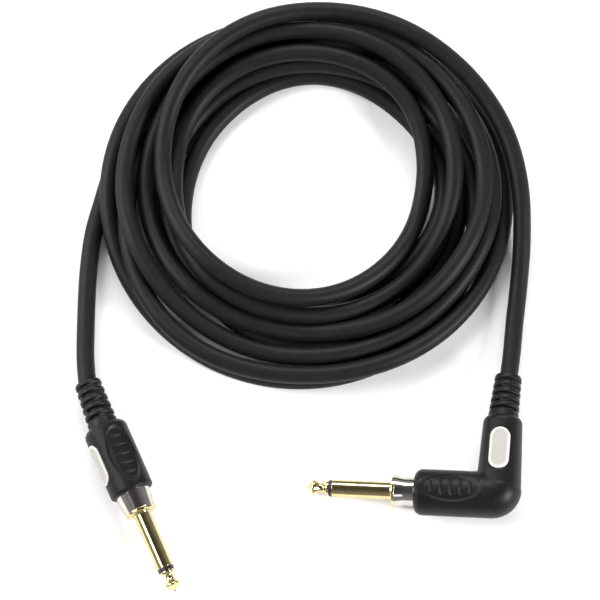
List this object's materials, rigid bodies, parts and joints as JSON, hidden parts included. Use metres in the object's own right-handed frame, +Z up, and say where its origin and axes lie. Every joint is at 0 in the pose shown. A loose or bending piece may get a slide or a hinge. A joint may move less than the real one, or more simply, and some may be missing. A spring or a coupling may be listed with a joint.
{
  "type": "instrument cable",
  "caption": "Coiled round audio lead with a straight phone plug on one end and a right-angle phone plug on the other, each with a soft grip and a slotted strain relief.",
  "frame": {"origin": "on the floor, midway between the outer ends of the two plugs as they lie", "axes": "+Z up from the floor, +Y from the plugs towards the coil, +X from the straight plug to the angle plug"},
  "size_m": [0.1651, 0.2166, 0.022],
  "materials": {
    "gold_plating": "polished",
    "nickel_plating": "polished",
    "ring_plastic": "moulded",
    "natural_plastic": "moulded",
    "lug_brass": "stamped",
    "solder": "dull",
    "shell_plastic": "moulded",
    "grip_rubber": "matte with fine specks",
    "badge_plastic": "satin",
    "cable_jacket": "matte",
    "copper_screen": "twisted bare wire",
    "core_plastic": "extruded",
    "copper_wire": "bare wire"
  },
  "bodies": {
    "root": {"straight_tip_contact": "gold_plating", "straight_tip_insulator": "ring_plastic", "straight_rod_tube": "natural_plastic", "straight_sleeve_contact": "gold_plating", "straight_collar": "nickel_plating", "straight_ground_lug": "lug_brass", "straight_rear_insulator": "natural_plastic", "straight_tip_lug": "lug_brass", "straight_core_solder": "solder", "straight_screen_solder": "solder", "straight_inner_shell": "shell_plastic", "straight_grip_body": "grip_rubber", "straight_badge": "badge_plastic", "straight_strain_relief": "grip_rubber", "straight_jacket_end": "cable_jacket", "straight_screen_pigtail": "copper_screen", "straight_core_insulation": "core_plastic", "straight_core_wire": "copper_wire", "angle_tip_contact": "gold_plating", "angle_tip_insulator": "ring_plastic", "angle_rod_tube": "natural_plastic", "angle_sleeve_contact": "gold_plating", "angle_collar": "nickel_plating", "angle_ground_lug": "lug_brass", "angle_rear_insulator": "natural_plastic", "angle_tip_lug": "lug_brass", "angle_core_solder": "solder", "angle_screen_solder": "solder", "angle_inner_shell": "shell_plastic", "angle_grip_body": "grip_rubber", "angle_badge": "badge_plastic", "angle_strain_relief": "grip_rubber", "angle_jacket_end": "cable_jacket", "angle_screen_pigtail": "copper_screen", "angle_core_insulation": "core_plastic", "angle_core_wire": "copper_wire", "straight_tail": "cable_jacket", "angle_tail": "cable_jacket", "cable_coil": "cable_jacket"}
  },
  "joints": []
}
